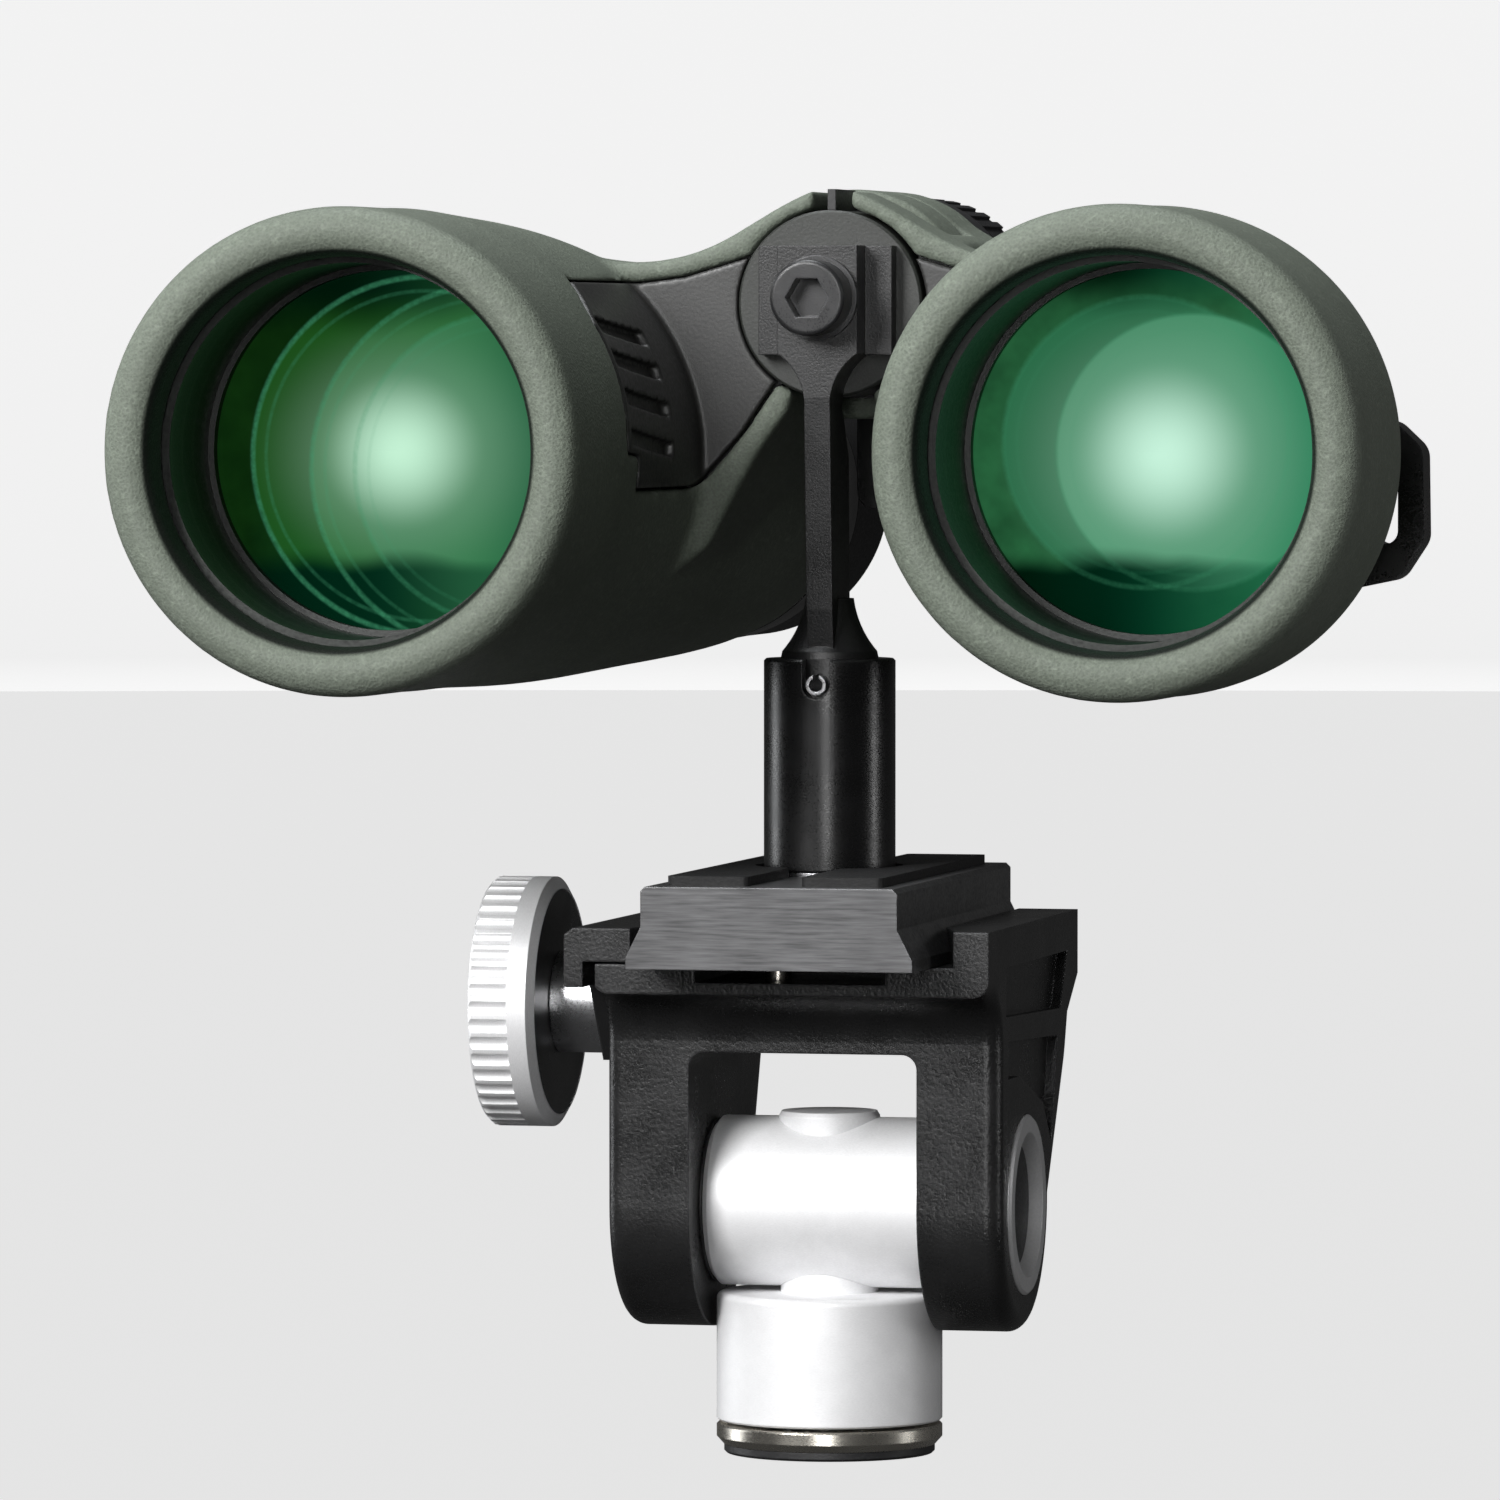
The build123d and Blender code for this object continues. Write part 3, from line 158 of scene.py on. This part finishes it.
def coated_metal(name, colour, grain, depth, rough, metallic=0.0, edge_colour=None,
                 radius=0.25 * MM):
    """Paint or anodising with a fine grain, slight mottling, specks painted lighter as glints, and
    edges paler from wear and a painted highlight.
    """
    s = Shader(name)
    s.set(Metallic=metallic)
    fine = s.noise(grain, 4.0)
    cloud = s.noise(9 * MM, 2.0)
    glint_specks = s.noise(grain * 0.45, 2.0)
    tone = s.mix(s.spread(cloud, 0.3, 0.7, 0.0, 1.0), scaled(colour, 0.8), scaled(colour, 1.25))
    # painted glints: lighter specks stand in for sparkle highlights in the paint
    tone = s.mix(s.spread(glint_specks, 0.62, 0.75, 0.0, 0.5), tone, scaled(colour, 2.2))
    mask, rounded = s.edges(radius)
    # edges painted paler: partly wear, partly a painted highlight along them
    worn_and_lit_edge = s.math("MULTIPLY", mask, s.spread(s.noise(1.4 * MM, 3.0), 0.35, 0.65, 0.25, 0.8))
    tone = s.mix(worn_and_lit_edge, tone, edge_colour or scaled(colour, 3.0))
    roughness = s.spread(s.math("ADD", fine, cloud), 0.7, 1.3, rough - 0.07, rough + 0.08)
    return s.finish(tone, roughness, s.bump(fine, 0.6, depth, rounded))


def bright_metal(name, colour, rough, streak=None, radius=0.2 * MM, metallic=1.0,
                 contrast=0.25):
    """Bare or plated metal, with turning marks along the given stretch."""
    s = Shader(name)
    s.set(Metallic=metallic)
    lines = s.noise(0.35 * MM, 3.0, streak or (1.0, 1.0, 1.0))
    smudge = s.noise(7 * MM, 3.0)
    tone = s.mix(s.spread(smudge, 0.35, 0.7, 0.0, 1.0), colour, scaled(colour, 0.9))
    tone = s.mix(s.spread(lines, 0.3, 0.7, 0.0, contrast), tone, scaled(colour, 0.72 - 0.5 * contrast))
    mask, rounded = s.edges(radius)
    # painted highlight: edges painted lighter
    tone = s.mix(s.math("MULTIPLY", mask, 0.5), tone, scaled(colour, 1.15))
    roughness = s.spread(s.math("ADD", lines, smudge), 0.7, 1.3, rough - 0.05, rough + 0.09)
    return s.finish(tone, roughness, s.bump(lines, 0.25, 0.015 * MM, rounded))


def rubber(name, colour, grain, depth, rough=0.62, dust=1.35, mouth=None):
    """Moulded rubber with a pebbled grain, a paler bloom and mottled gloss.

    Near-black painted shade inside the objective's mouth, where mouth is the x of the barrel's axis.
    """
    s = Shader(name)
    pebble = s.cells(grain)
    fine = s.noise(grain * 0.8, 3.0)
    cloud = s.noise(16 * MM, 3.0)
    height = s.math("ADD", s.math("MULTIPLY", pebble, 0.7), fine)
    tone = s.mix(s.spread(cloud, 0.3, 0.7, 0.0, 1.0), scaled(colour, 0.86), scaled(colour, 1.12))
    # painted shade: the grain's hollows, where the bump is low, are painted darker
    tone = s.mix(s.spread(height, 0.62, 1.1, 0.0, 0.75), scaled(colour, 0.72), tone)
    tone = s.mix(s.spread(s.noise(grain * 2.2, 2.0), 0.55, 0.75, 0.0, 0.5), tone, scaled(colour, dust))
    roughness = s.spread(fine, 0.3, 0.7, rough - 0.09, rough + 0.1)
    # painted shade: the rubber inside the objective's mouth is painted near-black
    if mouth is not None:
        split = s.new("ShaderNodeSeparateXYZ")
        s.join(s.place, split.inputs[0])
        across = s.math("SUBTRACT", split.outputs["X"], mouth)
        above = s.math("SUBTRACT", split.outputs["Z"], LENS_Z)
        squares = s.math("ADD", s.math("MULTIPLY", across, across), s.math("MULTIPLY", above, above))
        away = s.math("SQRT", squares)
        front = s.spread(split.outputs["Y"], MOUTH_BACK, MOUTH_FRONT, 0.0, 1.0)
        wall = s.spread(away, MOUTH_OUTER, MOUTH_INNER, 0.0, 1.0, smooth=True)
        mouth_shade = s.math("MULTIPLY", front, wall)
        tone = s.mix(mouth_shade, tone, (0.006, 0.008, 0.006))
    s.set(**{"Specular_IOR_Level": 0.30})
    return s.finish(tone, roughness, s.bump(height, 0.75, depth))


def plastic(name, colour, grain=0.45 * MM, depth=0.03 * MM, rough=0.48):
    s = Shader(name)
    fine = s.noise(grain, 3.0)
    cloud = s.noise(12 * MM, 2.0)
    tone = s.mix(s.spread(cloud, 0.3, 0.7, 0.0, 1.0), scaled(colour, 0.85), scaled(colour, 1.15))
    tone = s.mix(s.spread(fine, 0.55, 0.75, 0.0, 0.6), tone, scaled(colour, 1.6))
    mask, rounded = s.edges(0.2 * MM)
    # painted highlight: edges painted lighter
    tone = s.mix(s.math("MULTIPLY", mask, 0.6), tone, scaled(colour, 2.6))
    return s.finish(tone, s.spread(fine, 0.3, 0.7, rough - 0.08, rough + 0.08),
                    s.bump(fine, 0.6, depth, rounded))


def baffle(name):
    """Matt black wall in front of the lens, with fine turned rings whose bands are painted lighter as
    highlights.
    """
    s = Shader(name)
    rings = s.new("ShaderNodeTexWave", wave_type="BANDS", bands_direction="Y", wave_profile="SAW")
    rings.inputs["Scale"].default_value = 62.0
    rings.inputs["Distortion"].default_value = 0.15
    s.join(s.place, rings.inputs["Vector"])
    fine = s.noise(0.5 * MM, 3.0)
    tone = s.mix(s.spread(fine, 0.35, 0.7, 0.0, 1.0), (0.004, 0.005, 0.004), (0.016, 0.02, 0.016))
    # painted highlights: the turned rings' bands painted lighter
    tone = s.mix(s.spread(rings.outputs["Fac"], 0.75, 1.0, 0.0, 0.5), tone, (0.05, 0.065, 0.05))
    height = s.math("ADD", rings.outputs["Fac"], s.math("MULTIPLY", fine, 0.3))
    return s.finish(tone, s.spread(fine, 0.3, 0.7, 0.32, 0.5), s.bump(height, 0.5, 0.12 * MM))


def lens_painted_light(name, centre_x, outer, reflected_discs, hotspot_reflection, lit_band, lit_far_side):
    """Green objective glass painted with light, all of it emitted: painted reflections of the elements
    behind as nested discs with bright rims, a lighter right side, a painted hotspot reflection, a
    painted lit band with painted shade above and below, and painted shade at the rim.

    Lengths are in lens radii from the lens's centre: u to the right, v up.
    """
    s = Shader(name)
    split = s.new("ShaderNodeSeparateXYZ")
    s.join(s.place, split.inputs[0])
    u = s.math("DIVIDE", s.math("SUBTRACT", split.outputs["X"], centre_x), LENS_R)
    v = s.math("DIVIDE", s.math("SUBTRACT", split.outputs["Z"], LENS_Z), LENS_R)

    def distance(cu, cv, wide=1.0, high=1.0):
        du = s.math("DIVIDE", s.math("SUBTRACT", u, cu), wide)
        dv = s.math("DIVIDE", s.math("SUBTRACT", v, cv), high)
        return s.math("SQRT", s.math("ADD", s.math("MULTIPLY", du, du), s.math("MULTIPLY", dv, dv)))

    haze = s.noise(7 * MM, 3.0)
    tone = s.mix(s.spread(haze, 0.3, 0.7, 0.0, 1.0), scaled(outer, 0.7), scaled(outer, 1.3))
    # painted reflections: nested discs of the elements behind, each with bright rims
    ring_reflections = 0.0
    for cu, cv, radius, colour, strength in reflected_discs:
        away = distance(cu, cv)
        tone = s.mix(s.spread(away, radius + 0.008, radius - 0.012, 0.0, 1.0), tone, colour)
        off = s.math("ABSOLUTE", s.math("SUBTRACT", away, radius))
        ring_reflections = s.math("ADD", ring_reflections, s.spread(off, 0.022, 0.004, 0.0, strength, smooth=True))
        second = s.math("ABSOLUTE", s.math("SUBTRACT", away, radius - 0.075))
        ring_reflections = s.math("ADD", ring_reflections, s.spread(second, 0.016, 0.003, 0.0, 0.4 * strength, smooth=True))
    # painted light: the lens's right side painted lighter
    tone = s.mix(s.spread(u, 0.35, 0.95, 0.0, 0.8, smooth=True), tone, lit_far_side)
    # painted reflection: a soft hotspot of the softbox with a wider halo
    cu, cv, wide, tall, bright = hotspot_reflection
    halo = s.spread(distance(cu, cv, 1.9 * wide, 1.7 * tall), 1.0, 0.0, 0.0, 0.45, smooth=True)
    core = s.spread(distance(cu, cv, wide, tall), 1.0, 0.0, 0.0, 1.0, smooth=True)
    tone = s.mix(halo, tone, scaled(bright, 0.62))
    tone = s.mix(core, tone, bright)
    # painted light and shade: a lit band across the lens, painted shade above and below it, lighter to
    # the right
    bottom, top = lit_band
    edge = s.math("ADD", v, s.math("MULTIPLY", s.noise(9 * MM, 1.0), 0.10))
    lit = s.math("MULTIPLY", s.spread(edge, bottom, bottom + 0.14, 0.0, 1.0, smooth=True),
                 s.spread(edge, top + 0.20, top - 0.12, 0.0, 1.0, smooth=True))
    lit = s.math("ADD", lit, s.spread(u, -0.10, 0.75, 0.0, 0.42, smooth=True), clamp=True)
    shade_outside_band = s.mix(s.spread(u, -0.3, 0.8, 0.0, 1.0, smooth=True), GLASS_IN_SHADE, lit_far_side)
    tone = s.mix(lit, s.mix(0.45, shade_outside_band, GLASS_IN_SHADE), tone)
    # painted reflections: the disc rims painted bright green
    tone = s.mix(s.math("MULTIPLY", ring_reflections, s.spread(s.noise(0.7 * MM, 2.0), 0.3, 0.7, 0.5, 1.0)),
                 tone, (0.055, 0.30, 0.15))
    # painted shade: darker towards the lens's rim
    rim_shade = s.spread(distance(0.0, 0.0), 0.93, 1.0, 0.0, 0.8, smooth=True)
    tone = s.mix(rim_shade, tone, (0.002, 0.014, 0.006))
    # painted light: the painted tone glows by emission, though the lens is no lamp; a tenth of it also
    # goes into the base colour
    s.join(tone, s.bsdf.inputs["Emission Color"])
    s.set(Emission_Strength=0.85, Specular_IOR_Level=0.0)
    return s.finish(s.mix(0.9, tone, (0.0, 0.01, 0.005)), s.spread(haze, 0.3, 0.7, 0.35, 0.5))


def eye_glass(name):
    s = Shader(name)
    haze = s.noise(5 * MM, 3.0)
    tone = s.mix(s.spread(haze, 0.3, 0.7, 0.0, 1.0), (0.004, 0.02, 0.014), (0.012, 0.05, 0.03))
    s.set(Coat_Weight=1.0, Coat_Roughness=0.02)
    return s.finish(tone, s.spread(haze, 0.3, 0.7, 0.05, 0.12))


# ---------------------------------------------------------------- materials
SAGE = (0.172, 0.198, 0.160)
armour_rubbers = {name: rubber(f"armour_rubber_{name}", SAGE, 0.42 * MM, 0.10 * MM, mouth=side * LENS_X)
                  for name, side in SIDES}
grip_rubber = rubber("grip_rubber", (0.018, 0.018, 0.019), 0.5 * MM, 0.05 * MM, rough=0.55)
pad_rubber = rubber("pad_rubber", (0.012, 0.012, 0.0125), 0.35 * MM, 0.03 * MM, rough=0.6, dust=1.8)
inlay_plastic = plastic("inlay_plastic", (0.028, 0.028, 0.027), 0.5 * MM, 0.045 * MM, rough=0.42)
disc_plastic = plastic("hinge_disc_plastic", (0.020, 0.022, 0.019), 0.45 * MM, 0.05 * MM, rough=0.5)
black_plastic = plastic("black_plastic", (0.016, 0.016, 0.017))
anodised = coated_metal("black_anodised", (0.0035, 0.0035, 0.0037), 0.28 * MM, 0.022 * MM, 0.30)
stem_finish = coated_metal("grey_anodised", (0.006, 0.006, 0.0063), 0.30 * MM, 0.06 * MM, 0.36)
cast_paint = coated_metal("cast_black_paint", (0.020, 0.020, 0.0204), 0.46 * MM, 0.12 * MM, 0.30,
                          metallic=0.35, edge_colour=(0.10, 0.10, 0.105), radius=0.45 * MM)
plate_metal = bright_metal("brushed_dark_plate", (0.21, 0.21, 0.215), 0.36, (0.05, 1.0, 0.9),
                           metallic=0.8, contrast=0.9)
satin = bright_metal("satin_alloy", (0.93, 0.93, 0.94), 0.48, (1.0, 1.0, 6.0), metallic=0.25)
cap_metal = bright_metal("cap_alloy", (0.72, 0.72, 0.73), 0.42, metallic=0.5)
knob_metal = bright_metal("knob_alloy", (0.92, 0.92, 0.93), 0.42, (3.0, 1.0, 1.0), metallic=0.35)
nickel = bright_metal("brushed_nickel", (0.80, 0.76, 0.68), 0.26, (1.0, 1.0, 8.0))
steel = bright_metal("satin_steel", (0.62, 0.62, 0.64), 0.28)
dark_steel = coated_metal("blackened_steel", (0.020, 0.020, 0.021), 0.22 * MM, 0.02 * MM, 0.33,
                          edge_colour=(0.16, 0.16, 0.17), radius=0.3 * MM)
brass = bright_metal("satin_brass", (0.70, 0.52, 0.24), 0.3)
clear = eye_glass("eye_glass")
baffles = {name: baffle(f"baffle_{name}") for name, side in SIDES}
# the two lenses carry different painted light and shade: the right one lighter throughout
lenses = {
    "left": lens_painted_light(
        "objective_painted_light_left", -LENS_X, (0.004, 0.022, 0.0025),
        [(0.20, -0.03, 0.94, (0.013, 0.082, 0.011), 0.55),
         (0.56, -0.10, 0.97, (0.030, 0.150, 0.042), 0.45),
         (0.65, -0.10, 0.82, (0.042, 0.190, 0.075), 0.30)],
        (0.08, 0.00, 0.46, 0.44, (0.56, 0.88, 0.66)), (-0.60, 0.72), (0.010, 0.085, 0.040)),
    "right": lens_painted_light(
        "objective_painted_light_right", LENS_X, (0.020, 0.115, 0.042),
        [(-0.03, 0.05, 0.75, (0.027, 0.165, 0.072), 0.18),
         (0.22, 0.00, 0.71, (0.070, 0.290, 0.150), 0.15)],
        (0.08, -0.01, 0.50, 0.50, (0.58, 0.90, 0.72)), (-0.58, 0.80), (0.013, 0.190, 0.085)),
}

FINISH = {
    "base_disc": black_plastic, "thread_insert": steel, "base_ring": nickel, "pan_spindle": steel,
    "column": satin, "pan_bush": brass, "tilt_barrel": satin, "tie_bolt": satin,
    "axle_bushes": black_plastic, "yoke": cast_paint, "tilt_pivots": steel, "axle_caps": cap_metal,
    "cap_discs": black_plastic, "friction_washers": black_plastic, "stop_spring": steel,
    "stop_pin": nickel, "clamp_jaw": cast_paint, "jaw_guide_pins": steel,
    "knob_rim": knob_metal, "knob_disc": dark_steel, "knob_screw": steel,
    "dovetail_plate": plate_metal, "plate_pads": pad_rubber, "post_washer": steel,
    "post_sleeve": anodised, "post_screw": steel, "adapter_stem": stem_finish, "roll_pin": steel,
    "screw_washer": dark_steel, "cap_screw": dark_steel, "hinge_cap": disc_plastic,
    "hinge_filler": black_plastic, "hinge_shaft": steel, "focus_housing": black_plastic,
    "focus_wheel": black_plastic, "focus_grip": grip_rubber, "focus_rod": steel,
    "diopter_ring": grip_rubber,
}
for name, side in SIDES:
    FINISH.update({
        f"housing_{name}": anodised, f"armour_{name}": armour_rubbers[name],
        f"inlay_{name}": inlay_plastic, f"objective_cell_{name}": baffles[name],
        f"objective_lens_{name}": lenses[name], f"prisms_{name}": clear,
        f"focus_lens_{name}": clear, f"eye_lenses_{name}": clear,
        f"eyepiece_tube_{name}": anodised, f"eyecup_{name}": grip_rubber,
        f"eyecup_slider_{name}": black_plastic,
    })
for node, mat in FINISH.items():
    obj = nodes[node]
    obj.data.materials.clear()
    obj.data.materials.append(mat)


# ---------------------------------------------------------------- softened rubber and panels
def softened(node, body, voxel, rounds, mat):
    """Stand-in for a moulded skin: the CAD skin, remeshed and relaxed so that its joins flow."""
    source = nodes[node]
    mesh = source.data.copy()
    bm = bmesh.new()
    bm.from_mesh(mesh)
    bmesh.ops.remove_doubles(bm, verts=bm.verts, dist=1e-6)
    bm.to_mesh(mesh)
    bm.free()
    piece = bpy.data.objects.new(f"skin_{node}", mesh)
    bpy.context.scene.collection.objects.link(piece)
    piece.matrix_world = source.matrix_world.copy()
    remesh = piece.modifiers.new("voxels", "REMESH")
    remesh.mode = "VOXEL"
    remesh.voxel_size = voxel
    smooth = piece.modifiers.new("relax", "SMOOTH")
    smooth.factor = 0.5
    smooth.iterations = rounds
    bpy.context.view_layer.update()
    shaped = bpy.data.meshes.new_from_object(piece.evaluated_get(bpy.context.evaluated_depsgraph_get()))
    piece.modifiers.clear()
    piece.data = shaped
    shaped.polygons.foreach_set("use_smooth", [True] * len(shaped.polygons))
    shaped.materials.clear()
    shaped.materials.append(mat)
    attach(piece, body)
    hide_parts(node)
    return piece


for name, side in SIDES:
    softened(f"armour_{name}", f"barrel_{name}", 0.7 * MM, 10, armour_rubbers[name])
    softened(f"inlay_{name}", f"barrel_{name}", 0.28 * MM, 4, inlay_plastic)

# ---------------------------------------------------------------- studio
FLOOR_R = 3.2
FLOOR_CURVE = 1.2
FLOOR_TOP = 5.0
FLOOR_GAP = 0.0006
CLIMB_STEPS = 12
FLOOR_SIDES = 72


def curved_floor():
    """Pale round floor that sweeps up all round the object."""
    mesh = bpy.data.meshes.new("studio_floor")
    bm = bmesh.new()
    climb = [math.radians(90.0 * step / CLIMB_STEPS) for step in range(CLIMB_STEPS + 1)]
    profile = [(FLOOR_R + FLOOR_CURVE * math.sin(a), FLOOR_CURVE * (1 - math.cos(a))) for a in climb]
    profile.append((FLOOR_R + FLOOR_CURVE, FLOOR_TOP))
    turns = [math.radians(360.0 * step / FLOOR_SIDES) for step in range(FLOOR_SIDES)]
    rows = [[bm.verts.new((r * math.cos(a), r * math.sin(a), z - FLOOR_GAP)) for a in turns]
            for r, z in profile]
    bm.faces.new(rows[0])
    for low_row, high_row in zip(rows, rows[1:]):
        for k in range(len(turns)):
            bm.faces.new((low_row[k - 1], low_row[k], high_row[k], high_row[k - 1]))
    bm.to_mesh(mesh)
    bm.free()
    mesh.polygons.foreach_set("use_smooth", [True] * len(mesh.polygons))
    obj = bpy.data.objects.new("studio_floor", mesh)
    bpy.context.scene.collection.objects.link(obj)
    s = Shader("studio_white")
    drift = s.noise(0.6, 2.0)
    tone = s.mix(s.spread(drift, 0.3, 0.7, 0.0, 1.0), (0.90, 0.90, 0.90), (0.94, 0.94, 0.94))
    s.bsdf.inputs["Emission Color"].default_value = (1.0, 1.0, 1.0, 1.0)
    s.set(Emission_Strength=0.78, Specular_IOR_Level=0.0)
    s.finish(tone, s.spread(drift, 0.3, 0.7, 0.85, 0.95))
    mesh.materials.append(s.mat)
    obj.visible_diffuse = False
    obj.visible_glossy = False
    return obj


def softbox(name, place, target, width, height, power, colour=(1.0, 1.0, 1.0), spread=180.0):
    data = bpy.data.lights.new(name, "AREA")
    data.shape = "RECTANGLE"
    data.size, data.size_y = width, height
    data.energy = power
    data.color = colour
    data.spread = math.radians(spread)
    obj = bpy.data.objects.new(name, data)
    obj.location = place
    obj.rotation_mode = "QUATERNION"
    obj.rotation_quaternion = (Vector(target) - Vector(place)).to_track_quat("-Z", "Y")
    bpy.context.scene.collection.objects.link(obj)
    return obj


curved_floor()
AIM = Vector((-0.01084, 0.0, 0.09316))
AZIMUTH, ELEVATION = math.radians(12.8), math.radians(2.15)
CAMERA_DISTANCE = 1.3944
CAMERA_LENS = 252.0
BACK = Vector((math.sin(AZIMUTH) * math.cos(ELEVATION), -math.cos(AZIMUTH) * math.cos(ELEVATION),
               math.sin(ELEVATION)))
RIGHT = Vector((math.cos(AZIMUTH), math.sin(AZIMUTH), 0.0))


def around(toward, right, up):
    """A place given towards the camera, to its right, and up, from the middle of the object."""
    return AIM + BACK * toward + RIGHT * right + Vector((0.0, 0.0, up))


softbox("key", around(1.0, -0.75, 0.55), AIM, 0.45, 0.6, 24.0)
softbox("front_fill", around(1.25, -0.12, 0.05), AIM, 0.16, 0.9, 5.0)
softbox("top", around(-0.1, -0.15, 0.95), AIM, 0.7, 0.5, 7.0, (0.95, 0.98, 1.0))
softbox("left_rim", around(-0.35, -0.9, 0.15), AIM, 0.25, 0.8, 3.0, (0.96, 0.98, 1.0))
softbox("right_rim", around(0.1, 1.0, 0.1), AIM, 0.10, 0.5, 1.4)

world = bpy.data.worlds.new("studio_air")
bpy.context.scene.world = world
world.use_nodes = True
world.node_tree.nodes["Background"].inputs["Color"].default_value = (1.0, 1.0, 1.0, 1.0)
world.node_tree.nodes["Background"].inputs["Strength"].default_value = 0.05

camera_data = bpy.data.cameras.new("camera")
camera_data.sensor_width = 36.0
camera_data.lens = CAMERA_LENS
camera_data.clip_start, camera_data.clip_end = 0.05, 20.0
camera = bpy.data.objects.new("camera", camera_data)
camera.location = AIM + BACK * CAMERA_DISTANCE
camera.rotation_mode = "QUATERNION"
camera.rotation_quaternion = (-BACK).to_track_quat("-Z", "Y")
bpy.context.scene.collection.objects.link(camera)
bpy.context.scene.camera = camera
bpy.context.scene.view_settings.view_transform = "Standard"
